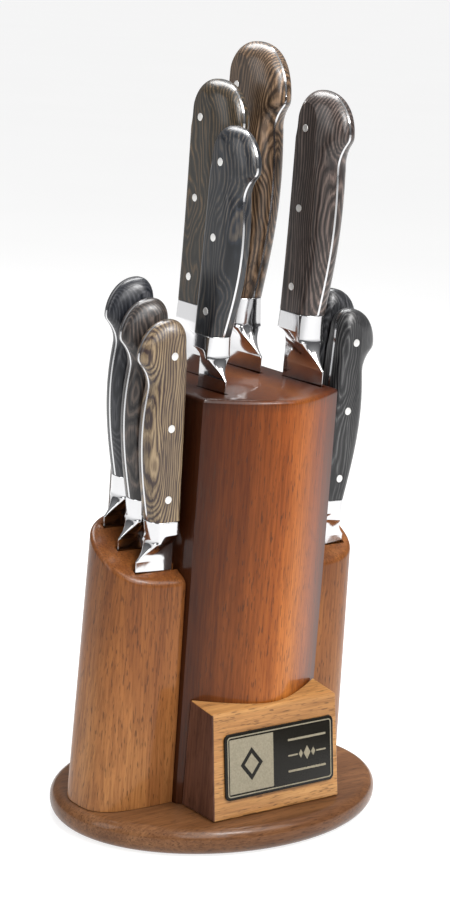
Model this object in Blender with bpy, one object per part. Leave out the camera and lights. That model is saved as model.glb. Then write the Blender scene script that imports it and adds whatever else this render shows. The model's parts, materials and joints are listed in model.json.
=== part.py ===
"""Knife block with nine forged knives.

An oval base carries a tall centre column, a lower pillar on each side, and a small sign block
with a name plate in front.  Four knives stand in the column, three in the left pillar and two in
the right one.  Every knife is one forged blade with bolster and full tang, two wooden scales and
three rivets that go right through.

The origin is on the floor under the middle of the oval base.  +X is to the right and -Y is the
front, where the sign is.
"""
import math

import bmesh
import bpy
from mathutils import Matrix, Vector

MM = 0.001
GAP = 0.3 * MM                      # clearance between pieces that rest on each other

# ---- the block -------------------------------------------------------------------------------
BASE_LENGTH = 187 * MM              # along X
BASE_DEPTH = 141 * MM               # along Y
BASE_HEIGHT = 14.5 * MM
BASE_TOP_ROUND = 6 * MM
BASE_BOTTOM_ROUND = 7.5 * MM

COLUMN_HALF_WIDTH = 43 * MM
COLUMN_TOP = 226 * MM
COLUMN_NOSE_Y = -41 * MM            # furthest point of the curved front
COLUMN_CORNER_Y = -23 * MM          # where the curved front meets the flat sides
COLUMN_NOSE_WIDTH = 20 * MM         # how blunt the nose of the curved front is
COLUMN_BACK_Y = 62 * MM
COLUMN_BACK_RADIUS = 14 * MM
COLUMN_RIM = 2.5 * MM

PILLAR_INNER_X = COLUMN_HALF_WIDTH + GAP
PILLAR_FRONT_TOP = 132 * MM         # height of the sloping top at its front edge
PILLAR_TOP_SLOPE = 0.52             # rise towards the back
PILLAR_RIM = 2.5 * MM
PILLAR_BACK_SQUARENESS = 2.4        # 2 would be an ellipse
# each end of a pillar: reach in X, Y of the widest place, depth before and behind it,
# squareness of the front corner
LEFT_PILLAR_TOP = (37.3 * MM, 4 * MM, 23.5 * MM, 27.5 * MM, 2.6)
LEFT_PILLAR_FOOT = (45.2 * MM, 1 * MM, 21.2 * MM, 26 * MM, 3.6)
RIGHT_PILLAR_TOP = (32.5 * MM, 4 * MM, 23.5 * MM, 25.5 * MM, 2.6)
RIGHT_PILLAR_FOOT = (33 * MM, 1 * MM, 21.2 * MM, 26 * MM, 2.8)

SIGN_FOOT_HALF_WIDTH = 40.6 * MM
SIGN_TOP_HALF_WIDTH = 40 * MM
SIGN_FOOT_Y = -53 * MM
SIGN_TOP_Y = -44.8 * MM
SIGN_FRONT_HEIGHT = 68.7 * MM
SIGN_TOP_SLOPE = 0.12               # its top rises towards the column

PLATE_SIZE = (70.5 * MM, 34 * MM)
PLATE_THICKNESS = 1 * MM
PLATE_CORNER = 3 * MM
PLATE_CENTRE_X = 1.4 * MM
PLATE_CENTRE_Z = 41.2 * MM

# ---- the knives ------------------------------------------------------------------------------
TANG_HALF = 1 * MM
BLADE_HALF = 1.3 * MM
EDGE_HALF = 0.3 * MM
SLOT_HALF = 1.7 * MM
SLOT_END_PLAY = 0.8 * MM
SLOT_DEPTH_PLAY = 3 * MM
RIVET_RADIUS = 2 * MM
RIVET_HOLE_RADIUS = 2.4 * MM
RIVET_SIDES = 10
HANDLE_DROOP = math.tan(math.radians(1.5))     # the handle leans towards the edge side
SCALE_GAP = 0.2 * MM


class KnifeSize:
    """Measures of a forged knife; widths run from the spine towards the cutting edge."""

    def __init__(self, length, thickness, foot, belly, waist, hook, butt, bolster, heel):
        self.length = length * MM               # handle, from bolster to butt
        self.half = thickness[0] / 2 * MM       # half thickness at the bolster
        self.butt_half = thickness[1] / 2 * MM
        self.foot = foot * MM                   # handle width at the bolster
        self.belly = belly * MM
        self.waist = waist * MM
        self.hook = hook * MM                   # width over the hooked butt
        self.bolster = bolster * MM             # length of the bolster along the spine
        self.heel_drop = heel[0] * MM           # heel below the handle
        self.heel = heel[1] * MM                # blade height at the heel
        self.belly_at = 0.42 * self.length
        self.waist_at = 0.665 * self.length
        self.hook_at = self.length - butt * MM  # butt: from the hook's tip to the top
        self.crown = 0.27 * self.hook           # distance of the butt's highest point from the spine
        self.rivet_from_spine = 9 * MM
        self.rivets = [self.length * part for part in (0.115, 0.472, 0.83)]


STEAK = KnifeSize(101, (14.4, 14.8), 16.2, 21.4, 18.6, 25.6, 20.0, 13.5, (21.0, 21.5))
SMALL = KnifeSize(104, (14.8, 16.2), 16.2, 23.6, 20.5, 29.0, 21.0, 13.5, (21.5, 21.5))
MEDIUM = KnifeSize(113.7, (16.5, 20.0), 22.8, 28.0, 26.0, 32.8, 22.7, 18.0, (27.7, 31.0))
LARGE = KnifeSize(132, (18.5, 23.0), 24.5, 32.5, 29.0, 36.5, 29.5, 20.0, (29.6, 35.0))

TURN_FRONT = math.radians(-90)      # cutting edge towards the front
TURN_LEFT = math.radians(180)
TURN_RIGHT = 0.0

# name, size, turn, (x, y) of the spine at the handle's foot, height of that foot, blade, lean
KNIVES = [
    ("utility_knife", SMALL, TURN_FRONT, (-25.4, 3.4), 254.5, 130, 1.8),
    ("slicing_knife", MEDIUM, TURN_FRONT, (-8.0, 41.3), 264.0, 180, 0.7),
    ("butcher_knife", LARGE, TURN_FRONT, (27.3, 56.5), 264.0, 200, 0.0),
    ("chef_knife", MEDIUM, TURN_FRONT, (36.5, 12.5), 262.0, 200, 1.0),
    ("left_steak_knife_1", STEAK, TURN_LEFT, (-46.4, -9.6), 163.0, 110, 0.0),
    ("left_steak_knife_2", STEAK, TURN_LEFT, (-47.0, 5.8), 171.0, 110, 0.0),
    ("left_steak_knife_3", STEAK, TURN_LEFT, (-45.6, 21.2), 179.0, 110, 0.0),
    ("right_steak_knife_1", STEAK, TURN_RIGHT, (47.0, -7.4), 163.5, 110, 1.5),
    ("right_steak_knife_2", STEAK, TURN_RIGHT, (47.0, 8.0), 171.5, 110, 1.5),
]
SLOTTED = {"centre_column": KNIVES[:4], "left_pillar": KNIVES[4:7], "right_pillar": KNIVES[7:]}


# ---- materials -------------------------------------------------------------------------------
def material(name, colour, roughness, metallic=0.0):
    """A plain Principled material."""
    made = bpy.data.materials.new(name)
    made.use_nodes = True
    shader = made.node_tree.nodes["Principled BSDF"]
    shader.inputs["Base Color"].default_value = (*colour, 1)
    shader.inputs["Roughness"].default_value = roughness
    shader.inputs["Metallic"].default_value = metallic
    made.diffuse_color = (*colour, 1)
    return made


def make_materials():
    """All materials of the block and its knives, by name."""
    return {
        "lacquered_wood": material("lacquered_wood", (0.24, 0.07, 0.025), 0.18),
        "honey_wood": material("honey_wood", (0.50, 0.22, 0.09), 0.25),
        "handle_wood": material("handle_wood", (0.07, 0.055, 0.045), 0.4),
        "polished_steel": material("polished_steel", (0.75, 0.75, 0.77), 0.12, 1.0),
        "rivet_steel": material("rivet_steel", (0.85, 0.85, 0.83), 0.25, 1.0),
        "plate_black": material("plate_black", (0.02, 0.02, 0.02), 0.3),
    }


# ---- mesh helpers ----------------------------------------------------------------------------
def new_object(name, mesh, finish, parent=None):
    """Link a mesh as a named object with one material."""
    made = bpy.data.objects.new(name, mesh)
    bpy.context.collection.objects.link(made)
    mesh.materials.append(finish)
    made.parent = parent
    return made


def loft(name, rings):
    """A closed mesh through rings of equal point count, capped at both ends."""
    shape = bmesh.new()
    layers = [[shape.verts.new(point) for point in ring] for ring in rings]
    count = len(rings[0])
    for low, high in zip(layers, layers[1:]):
        for i in range(count):
            j = (i + 1) % count
            shape.faces.new((low[i], low[j], high[j], high[i]))
    shape.faces.new(layers[0])
    shape.faces.new(layers[-1])
    bmesh.ops.recalc_face_normals(shape, faces=shape.faces)
    mesh = bpy.data.meshes.new(name)
    shape.to_mesh(mesh)
    shape.free()
    return mesh


def smooth(made, angle=40):
    """Shade round pieces smooth and keep their sharp edges."""
    made.data.shade_smooth()
    made.data.set_sharp_from_angle(angle=math.radians(angle))


def cut(target, cutter):
    """Subtract a hidden cutter from an object."""
    cutter.hide_render = True
    cutter.display_type = "WIRE"
    step = target.modifiers.new("cut", "BOOLEAN")
    step.operation = "DIFFERENCE"
    step.solver = "EXACT"
    step.object = cutter


def box_mesh(name, low, high):
    """A plain box between two corners."""
    corners = [(low[0], low[1]), (high[0], low[1]), (high[0], high[1]), (low[0], high[1])]
    return loft(name, [[(x, y, z) for x, y in corners] for z in (low[2], high[2])])


def rod_mesh(name, x, z, radius, half_length, sides):
    """A many-sided rod along Y, centred on (x, z)."""
    turns = [2 * math.pi * i / sides for i in range(sides)]
    return loft(name, [[(x + radius * math.cos(a), y, z + radius * math.sin(a)) for a in turns]
                       for y in (-half_length, half_length)])


def inset_outline(outline, distance, keep=()):
    """Move a counter-clockwise outline inwards; points in keep only move along Y."""
    moved = []
    count = len(outline)
    for i, (x, y) in enumerate(outline):
        before = Vector(outline[i - 1])
        after = Vector(outline[(i + 1) % count])
        along = (after - before).normalized()
        inward = Vector((-along.y, along.x)) * distance
        if i in keep:
            inward = Vector((0, math.copysign(distance, inward.y)))
        moved.append((x + inward.x, y + inward.y))
    return moved


def rounding(radius, steps):
    """(inset, distance below the face) pairs of a quarter-round edge, from the side to the face."""
    angles = [math.pi / 2 * i / steps for i in range(steps + 1)]
    return [(radius * (1 - math.cos(a)), radius * (1 - math.sin(a))) for a in angles]


# ---- the block -------------------------------------------------------------------------------
def base_plate(finish):
    """The oval base with a rounded edge."""
    count = 40
    outline = [(BASE_LENGTH / 2 * math.cos(2 * math.pi * i / count),
                BASE_DEPTH / 2 * math.sin(2 * math.pi * i / count)) for i in range(count)]
    levels = [(inset, down) for inset, down in rounding(BASE_BOTTOM_ROUND, 2)][::-1]
    levels += [(inset, BASE_HEIGHT - down) for inset, down in rounding(BASE_TOP_ROUND, 3)]
    rings = [[(x, y, z) for x, y in inset_outline(outline, inset)] for inset, z in levels]
    made = new_object("base_plate", loft("base_plate", rings), finish)
    smooth(made, 50)


def column_front(x):
    """Y of the column's curved front at X."""
    def swell(reach):
        return math.sqrt(1 + (reach / COLUMN_NOSE_WIDTH) ** 2) - 1
    depth = COLUMN_CORNER_Y - COLUMN_NOSE_Y
    return COLUMN_NOSE_Y + depth * swell(x) / swell(COLUMN_HALF_WIDTH)


def column_outline():
    """Plan of the column, counter-clockwise from its front left corner."""
    steps = 12
    front = [COLUMN_HALF_WIDTH * (2 * i / steps - 1) for i in range(steps + 1)]
    outline = [(x, column_front(x)) for x in front]
    centre_x = COLUMN_HALF_WIDTH - COLUMN_BACK_RADIUS
    centre_y = COLUMN_BACK_Y - COLUMN_BACK_RADIUS
    for side, start in ((1, 0), (-1, 90)):
        for i in range(5):
            turn = math.radians(start + 90 * i / 4)
            outline.append((side * centre_x + COLUMN_BACK_RADIUS * math.cos(turn),
                            centre_y + COLUMN_BACK_RADIUS * math.sin(turn)))
    return outline


def centre_column(finish):
    """The tall column with a curved front."""
    outline = column_outline()
    levels = [(0, BASE_HEIGHT + GAP)]
    levels += [(inset, COLUMN_TOP - down) for inset, down in rounding(COLUMN_RIM, 2)]
    rings = [[(x, y, z) for x, y in inset_outline(outline, inset)] for inset, z in levels]
    made = new_object("centre_column", loft("centre_column", rings), finish)
    smooth(made, 30)
    return made


def pillar_outline(end):
    """Plan of the left pillar at one end, counter-clockwise from its back inner corner."""
    reach, wide_y, front_depth, back_depth, front_squareness = end
    steps = 20
    outline = []
    for i in range(steps + 1):
        turn = math.pi / 2 - math.pi * i / steps
        if i <= steps / 2:
            depth, squareness = back_depth, PILLAR_BACK_SQUARENESS
        else:
            depth, squareness = front_depth, front_squareness
        across = abs(math.cos(turn)) ** (2 / squareness)
        along = math.copysign(abs(math.sin(turn)) ** (2 / squareness), math.sin(turn))
        outline.append((-PILLAR_INNER_X - reach * across, wide_y + depth * along))
    return outline


def pillar_top_height(y):
    """Height of the sloping top of a pillar at Y."""
    return PILLAR_FRONT_TOP + PILLAR_TOP_SLOPE * (y - LEFT_PILLAR_TOP[1] + LEFT_PILLAR_TOP[2])


def side_pillar(name, side, ends, finish):
    """A pillar that flares to its foot, with a sloping top; side is -1 for left, 1 for right."""
    foot_z = BASE_HEIGHT + GAP
    foot, top = pillar_outline(ends[0]), pillar_outline(ends[1])
    inner = (0, len(foot) - 1)
    reference = PILLAR_FRONT_TOP - foot_z

    def ring(inset, down):
        points = []
        for low, high in zip(foot, inset_outline(top, inset, inner)):
            height = pillar_top_height(high[1]) - down
            share = (height - foot_z) / reference
            points.append((low[0] + (high[0] - low[0]) * min(share, 1), high[1], height))
        return points

    rings = [[(x, y, foot_z) for x, y in foot]]
    rings += [ring(inset, down) for inset, down in rounding(PILLAR_RIM, 2)]
    if side > 0:
        rings = [[(-x, y, z) for x, y, z in points] for points in rings]
    made = new_object(name, loft(name, rings), finish)
    smooth(made, 30)
    return made


def sign_block(finish):
    """The small block that leans against the column's front."""
    def ring(half_width, front_y, height):
        steps = 12
        back = [half_width * (1 - 2 * i / steps) for i in range(steps + 1)]
        points = [(-half_width, front_y), (half_width, front_y)]
        points += [(x, column_front(x) - 2 * GAP) for x in back]
        return [(x, y, height(y)) for x, y in points]

    rings = [ring(SIGN_FOOT_HALF_WIDTH, SIGN_FOOT_Y, lambda y: BASE_HEIGHT + GAP),
             ring(SIGN_TOP_HALF_WIDTH, SIGN_TOP_Y,
                  lambda y: SIGN_FRONT_HEIGHT + SIGN_TOP_SLOPE * (y - SIGN_TOP_Y))]
    new_object("sign_block", loft("sign_block", rings), finish)


def name_plate(finish):
    """A blank plate with rounded corners on the sign's leaning front."""
    half_x, half_z = PLATE_SIZE[0] / 2 - PLATE_CORNER, PLATE_SIZE[1] / 2 - PLATE_CORNER
    outline = []
    for quarter, (x, z) in enumerate([(half_x, half_z), (-half_x, half_z),
                                      (-half_x, -half_z), (half_x, -half_z)]):
        for i in range(4):
            turn = math.radians(90 * quarter + 30 * i)
            outline.append((x + PLATE_CORNER * math.cos(turn), z + PLATE_CORNER * math.sin(turn)))
    lean = math.atan2(SIGN_TOP_Y - SIGN_FOOT_Y, SIGN_FRONT_HEIGHT - BASE_HEIGHT)
    share = (PLATE_CENTRE_Z - BASE_HEIGHT) / (SIGN_FRONT_HEIGHT - BASE_HEIGHT)
    front_y = SIGN_FOOT_Y + (SIGN_TOP_Y - SIGN_FOOT_Y) * share
    rings = [[(x, y, z) for x, z in outline] for y in (-GAP, -GAP - PLATE_THICKNESS)]
    made = new_object("name_plate", loft("name_plate", rings), finish)
    made.location = (PLATE_CENTRE_X, front_y, PLATE_CENTRE_Z)
    made.rotation_euler = (-lean, 0, 0)


# ---- the knives ------------------------------------------------------------------------------
def edge_side(size, s):
    """Width of the handle at distance s above its foot."""
    if s <= size.belly_at:
        return size.foot + (size.belly - size.foot) * math.sin(math.pi / 2 * s / size.belly_at)
    if s <= size.waist_at:
        share = (s - size.belly_at) / (size.waist_at - size.belly_at)
        return size.belly + (size.waist - size.belly) * share ** 2
    if s <= size.hook_at:
        share = (s - size.waist_at) / (size.hook_at - size.waist_at)
        return size.waist + (size.hook - size.waist) * share ** 2.2
    share = (s - size.hook_at) / (size.length - size.hook_at)
    return size.crown + (size.hook - size.crown) * math.sqrt(max(0, 1 - share ** 2))


def spine_side(size, s):
    """Where the handle begins on its spine side: straight, then rounded over at the butt."""
    start = size.length - 1.2 * size.crown
    share = max(0, (s - start) / (size.length - start))
    return size.crown * (1 - math.sqrt(max(0, 1 - share ** 2)))


def handle_half(size, s):
    """Half thickness of the handle, which swells and then is domed towards the butt."""
    swell = min(1, max(0, s / size.hook_at)) ** 2
    half = size.half + (size.butt_half - size.half) * swell
    start = size.length - 0.115 * size.length
    share = max(0, (s - start) / (size.length - start))
    return TANG_HALF + (half - TANG_HALF) * math.sqrt(max(0, 1 - share ** 2))


def handle_stations(size, along_handle, over_butt):
    """Heights of the sections from the foot over the waist and hook to the butt."""
    rise = size.hook_at - size.waist_at
    stations = [size.waist_at * i / along_handle for i in range(along_handle + 1)]
    stations += [size.waist_at + rise * share for share in (0.45, 0.8, 1)]
    crown = size.length - size.hook_at
    turns = [math.radians(86 * i / over_butt) for i in range(1, over_butt + 1)]
    return stations + [size.hook_at + crown * math.sin(turn) for turn in turns]


def scale_section(size, s, side):
    """Section of one wooden scale: flat at the tang, rounded over outside."""
    spine, edge = spine_side(size, s), edge_side(size, s)
    inner = TANG_HALF + SCALE_GAP
    rise = handle_half(size, s) - inner
    span = edge - spine
    spine_round = min(3 * MM, 0.3 * span)
    edge_round = min(8 * MM, 0.45 * span)
    points = [(spine, inner)]
    for turn in (math.radians(45), math.radians(90)):
        points.append((spine + spine_round * (1 - math.cos(turn)), inner + rise * math.sin(turn)))
    for turn in (math.radians(90), math.radians(58), math.radians(28)):
        points.append((edge - edge_round * (1 - math.cos(turn)), inner + rise * math.sin(turn)))
    points.append((edge, inner))
    return [(w + HANDLE_DROOP * s, side * t, s) for w, t in points]


def handle_scale(name, size, side, finish, parent):
    """One of the two wooden scales."""
    stations = handle_stations(size, 5, 4)
    stations[0] = SCALE_GAP
    stations[-1] = size.length - 0.6 * MM
    rings = [scale_section(size, s, side) for s in stations]
    return new_object(name, loft(name, rings), finish, parent)


def blade_section(s, spine, edge, spine_half, edge_half, spine_round=0.0, edge_round=0.0):
    """Section of the forged steel, ten points round; the half thicknesses are at its two sides."""
    def side_points(sign):
        if spine_round:
            return [(spine + 0.3 * spine_round, 0.7 * spine_half * sign),
                    (spine + spine_round, spine_half * sign),
                    (edge - edge_round, edge_half * sign),
                    (edge - 0.3 * edge_round, 0.7 * edge_half * sign)]
        inner = (edge - spine) / 3
        return [(spine, spine_half * sign), (spine + inner, spine_half * sign),
                (edge - inner, edge_half * sign), (edge, edge_half * sign)]
    upper, lower = side_points(1), side_points(-1)
    points = [(spine, 0)] + upper + [(edge, 0)] + lower[::-1]
    return [(w + HANDLE_DROOP * max(s, 0), t, s) for w, t in points]


def bolster_sections(size):
    """The bolster: as thick as the handle, then swept down to the blade's heel."""
    def thinned(share):
        return BLADE_HALF + (size.half - BLADE_HALF) * max(0, 1 - share ** 3) ** 0.6
    sections = []
    for share in (0, 0.25, 0.48, 0.62, 0.8, 1):
        s = -share * size.heel_drop
        sweep = max(0, (share - 0.48) / 0.52) ** 1.7
        edge = size.foot - 1.2 * MM * min(1, share / 0.48)
        edge += (size.heel - edge) * sweep
        spine_half = thinned(min(1, -s / size.bolster))
        edge_half = thinned(share)
        sections.append(blade_section(s, 0, edge, spine_half, edge_half, 3 * MM * (1 - 0.6 * share),
                                      6 * MM * (1 - 0.8 * share)))
    return sections


def blade_sections(size, blade):
    """The blade below its heel, with the edge rising to the tip."""
    shape = [(0.02, 1.0, BLADE_HALF), (0.08, 0.995, EDGE_HALF), (0.6, 0.93, EDGE_HALF),
             (0.86, 0.62, EDGE_HALF), (1.0, 0.1, EDGE_HALF)]
    return [blade_section(-size.heel_drop - share * blade, 0, size.heel * height,
                          BLADE_HALF * (1 - 0.45 * share), half) for share, height, half in shape]


def knife_steel(name, size, blade, finish, parent):
    """Blade, bolster and full tang, forged in one piece."""
    stations = [0] + handle_stations(size, 3, 3)[1:]
    stations[-1] = size.length - 0.2 * MM
    tang = [blade_section(s, spine_side(size, s), edge_side(size, s), TANG_HALF, TANG_HALF)
            for s in stations]
    rings = tang[::-1] + bolster_sections(size) + blade_sections(size, blade)
    return new_object(name, loft(name, rings), finish, parent)


def rivet_places(size):
    """(distance from the spine, height) of the three rivets."""
    return [(size.rivet_from_spine + HANDLE_DROOP * s, s) for s in size.rivets]


def knife(name, size, turn, spine_xy, foot_z, blade, lean, finishes):
    """A whole knife in its own frame: X towards the edge, Y across, Z up the handle."""
    frame = bpy.data.objects.new(name + "_frame", None)
    bpy.context.collection.objects.link(frame)
    place = Vector((spine_xy[0] * MM, spine_xy[1] * MM, foot_z * MM))
    frame.matrix_world = (Matrix.Translation(place) @ Matrix.Rotation(turn, 4, "Z")
                          @ Matrix.Rotation(math.radians(lean), 4, "Y"))
    pieces = [knife_steel(name + "_blade", size, blade * MM, finishes["polished_steel"], frame)]
    for label, side in (("scale_a", 1), ("scale_b", -1)):
        pieces.append(handle_scale(name + "_" + label, size, side, finishes["handle_wood"], frame))
    for number, (x, z) in enumerate(rivet_places(size), 1):
        drill_name = "%s_drill_%d" % (name, number)
        drill_mesh = rod_mesh(drill_name, x, z, RIVET_HOLE_RADIUS, size.butt_half + 2 * MM,
                              RIVET_SIDES)
        drill = new_object(drill_name, drill_mesh, finishes["rivet_steel"], frame)
        for piece in pieces:
            cut(piece, drill)
        rivet_name = "%s_rivet_%d" % (name, number)
        rivet = rod_mesh(rivet_name, x, z, RIVET_RADIUS, handle_half(size, z), RIVET_SIDES)
        new_object(rivet_name, rivet, finishes["rivet_steel"], frame)
    for piece in pieces:
        smooth(piece, 35)
    return frame


def slot_cutter(name, size, blade, frame, finish, open_at_spine):
    """A box that cuts the slot of one knife, in the knife's own frame."""
    low_x = -SLOT_END_PLAY - (12 * MM if open_at_spine else 0)
    low = (low_x, -SLOT_HALF, -size.heel_drop - blade - SLOT_DEPTH_PLAY)
    high = (size.heel + SLOT_END_PLAY, SLOT_HALF, 0)
    return new_object(name, box_mesh(name, low, high), finish, frame)


# ---- assembly --------------------------------------------------------------------------------
def build():
    """Make the whole knife block."""
    for old in list(bpy.data.objects):
        bpy.data.objects.remove(old, do_unlink=True)
    finishes = make_materials()
    base_plate(finishes["lacquered_wood"])
    holders = {"centre_column": centre_column(finishes["lacquered_wood"]),
               "left_pillar": side_pillar("left_pillar", -1, (LEFT_PILLAR_FOOT, LEFT_PILLAR_TOP),
                                          finishes["lacquered_wood"]),
               "right_pillar": side_pillar("right_pillar", 1, (RIGHT_PILLAR_FOOT, RIGHT_PILLAR_TOP),
                                           finishes["lacquered_wood"])}
    sign_block(finishes["honey_wood"])
    name_plate(finishes["plate_black"])
    for holder, knives in SLOTTED.items():
        for name, size, turn, spine_xy, foot_z, blade, lean in knives:
            frame = knife(name, size, turn, spine_xy, foot_z, blade, lean, finishes)
            cutter = slot_cutter(name + "_slot", size, blade * MM, frame,
                                 finishes["plate_black"], holder != "centre_column")
            cut(holders[holder], cutter)
    bpy.context.view_layer.update()


build()
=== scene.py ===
"""Looks of the knife block with nine forged knives.

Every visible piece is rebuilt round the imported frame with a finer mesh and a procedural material,
and a pale studio is set up.  Lengths are millimetres times MM.  The block's pieces are made in the
row frame; a knife's pieces are made in its own frame, with X from the spine towards the cutting
edge, Z up the handle, and the handle's foot at Z = 0.
"""
import json
import math

import bmesh
import bpy
from mathutils import Matrix, Vector


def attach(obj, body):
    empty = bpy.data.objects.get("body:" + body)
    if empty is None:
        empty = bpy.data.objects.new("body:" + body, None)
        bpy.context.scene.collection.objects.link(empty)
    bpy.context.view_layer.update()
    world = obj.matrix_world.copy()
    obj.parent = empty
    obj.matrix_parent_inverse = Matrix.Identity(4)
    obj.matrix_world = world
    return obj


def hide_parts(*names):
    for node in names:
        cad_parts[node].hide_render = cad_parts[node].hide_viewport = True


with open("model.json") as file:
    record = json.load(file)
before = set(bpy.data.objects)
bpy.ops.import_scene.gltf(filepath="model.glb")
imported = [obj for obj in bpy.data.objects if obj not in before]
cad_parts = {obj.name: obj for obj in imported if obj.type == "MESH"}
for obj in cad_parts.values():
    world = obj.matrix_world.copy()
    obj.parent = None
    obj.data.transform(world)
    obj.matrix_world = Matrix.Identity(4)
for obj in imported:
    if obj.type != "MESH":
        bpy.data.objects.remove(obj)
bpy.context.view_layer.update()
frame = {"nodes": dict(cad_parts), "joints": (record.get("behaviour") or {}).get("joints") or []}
JOINT_AXES = {joint["child"]: Vector(joint["axis"]) for joint in frame["joints"]}

MM = 0.001
GAP = 0.3 * MM                      # clearance between pieces that rest on each other

# ---- the block ----
BASE_LENGTH = 187 * MM
BASE_DEPTH = 141 * MM
BASE_HEIGHT = 14.5 * MM
BASE_TOP_ROUND = 6 * MM
BASE_BOTTOM_ROUND = 7.5 * MM

COLUMN_HALF_WIDTH = 43 * MM
COLUMN_TOP = 226 * MM
COLUMN_NOSE_Y = -41 * MM
COLUMN_CORNER_Y = -23 * MM
COLUMN_NOSE_WIDTH = 20 * MM
COLUMN_BACK_Y = 62 * MM
COLUMN_BACK_RADIUS = 14 * MM
COLUMN_RIM = 2.5 * MM

PILLAR_INNER_X = COLUMN_HALF_WIDTH + GAP
PILLAR_FRONT_TOP = 132 * MM
PILLAR_TOP_SLOPE = 0.52
PILLAR_RIM = 2.5 * MM
PILLAR_BACK_SQUARENESS = 2.4
# each end of a pillar: reach in X, Y of the widest place, depth before and behind it,
# squareness of the front corner
LEFT_PILLAR_TOP = (37.3 * MM, 4 * MM, 23.5 * MM, 27.5 * MM, 2.6)
LEFT_PILLAR_FOOT = (45.2 * MM, 1 * MM, 21.2 * MM, 26 * MM, 3.6)
RIGHT_PILLAR_TOP = (32.5 * MM, 4 * MM, 23.5 * MM, 25.5 * MM, 2.6)
RIGHT_PILLAR_FOOT = (33 * MM, 1 * MM, 21.2 * MM, 26 * MM, 2.8)

SIGN_FOOT_HALF_WIDTH = 40.6 * MM
SIGN_TOP_HALF_WIDTH = 40 * MM
SIGN_FOOT_Y = -53 * MM
SIGN_TOP_Y = -44.8 * MM
SIGN_FRONT_HEIGHT = 68.7 * MM
SIGN_TOP_SLOPE = 0.12

PLATE_SIZE = (70.5 * MM, 34 * MM)
PLATE_THICKNESS = 1 * MM
PLATE_CORNER = 3 * MM
PLATE_CENTRE_X = 1.4 * MM
PLATE_CENTRE_Z = 41.2 * MM
INLAY_RISE = 0.12 * MM
BORDER_INSET = 1.5 * MM
BORDER_LINE = 0.6 * MM
BORDER_OUTER_CORNER = PLATE_CORNER - 1.2 * MM
BORDER_INNER_CORNER = 1.3 * MM
PANEL_HALF = 14 * MM
PANEL_DIAMOND = (7.2 * MM, 8.6 * MM)
PANEL_DIAMOND_CORE = 0.62           # the solid diamond's share of the hole round it
FIELD_X = 17.6 * MM                 # middle of the plate's plain half
LONG_RULE = (12.5 * MM, 0.55 * MM, 0.5 * MM)
SHORT_RULE = (3.2 * MM, 0.4 * MM, 0.35 * MM)
LONG_RULE_Z = 8.2 * MM
SHORT_RULE_X = 9.3 * MM
SMALL_DIAMOND_STEP = 4.1 * MM
SMALL_DIAMOND_WIDTH = 0.62          # width over height

# ---- the knives ----
TANG_HALF = 0.6 * MM
SCALE_INNER = 0.65 * MM             # where a scale's flat back lies, just off the tang
SCALE_FOOT = 0.12 * MM              # fine joint between a scale and the bolster
BLADE_HALF = 1.3 * MM
EDGE_HALF = 0.25 * MM
HEEL_HALF = 0.7 * MM
SLOT_HALF = 1.7 * MM
SLOT_END_PLAY = 0.8 * MM
SLOT_DEPTH_PLAY = 3 * MM
KERF_RUN_OUT = 12 * MM              # a pillar's slot runs out through the face at the column
CAD_SCALE_GAP = 0.2 * MM
RIVET_RADIUS = 2 * MM
HANDLE_DROOP = math.tan(math.radians(1.5))
SPINE_ROUND = 2.8 * MM
FLAT_SHARE = 0.68                   # part of the handle's width inside the rounding at the belly
BUTT_ROUND = 6.5 * MM               # from the flat side's arch to the top of the butt
BUTT_CREASE = math.radians(42)      # how steeply the butt's dome leaves the flat side
FLAT_MARGIN = 0.3 * MM              # strip that keeps the flat side's shading flat
BUTT_CREASE_RUN = 0.1               # share of the handle's length over which it sets in
BUTT_REACH = 1.2                    # height of the spine's rounding over its width
ARCH_CROWN = 0.42                   # where the flat side's arch peaks, across its width
ARCH_REACH = 1.35                   # height of the arch's sides over their distance from its peak
EDGE_SQUARENESS = 2.15              # of a rounding's section; 2 is a quarter ellipse
SPINE_EXTRA_SQUARENESS = 0.65
RISE_STEPS = 24                     # outline points from the foot to the waist
HOOK_STEPS = 16                     # and from there to the hook
CROWN_STEPS = 20                    # and from there to the top
SCALE_STEPS = 10                    # rings from the flat side out to the tang
CORNER_STEPS = 7                    # points round each corner of a steel section
BOLSTER_STEPS = 96
BOLSTER_RIM = 0.3 * MM              # eased edge at the scales
BOLSTER_THICK_SHARE = 0.52          # keeps the handle's thickness over this share
BOLSTER_SWEEP_AT = 0.45             # where its edge starts to sweep out to the heel
BOLSTER_HOLLOW = 1.8                # power of the hollow and of the sweep
BOLSTER_NARROWING = 1.0 * MM
BOLSTER_LAST_ROUNDS = (0.4 * MM, 0.3 * MM)
BLADE_STEPS = 18
BLADE_FIRST_SHARE = 0.004
TIP_RISE = (0.95, 5.2)              # share of the width that the edge rises, and its power
SPINE_TAPER = 0.45
# radius and height above the flat side of the points of a rivet's head
RIVET_HEAD = ((0.8 * MM, 0.14 * MM), (1.6 * MM, 0.13 * MM), (1.9 * MM, 0.09 * MM),
              (RIVET_RADIUS, -0.03 * MM))
RIVET_SIDES = 32


class KnifeSize:
    """Measures of a forged knife; widths run from the spine towards the cutting edge."""

    def __init__(self, length, thickness, foot, belly, waist, hook, butt, bolster, heel):
        self.length = length * MM
        self.foot_half = thickness[0] / 2 * MM
        self.butt_half = thickness[1] / 2 * MM
        self.foot = foot * MM
        self.belly = belly * MM
        self.waist = waist * MM
        self.hook = hook * MM
        self.bolster = bolster * MM
        self.heel_drop = heel[0] * MM
        self.heel = heel[1] * MM
        self.belly_at = 0.42 * self.length
        self.waist_at = 0.665 * self.length
        self.hook_at = self.length - butt * MM
        self.crown = 0.27 * self.hook
        self.rivet_from_spine = 9 * MM
        self.rivets = [self.length * part for part in (0.115, 0.472, 0.83)]


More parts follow.
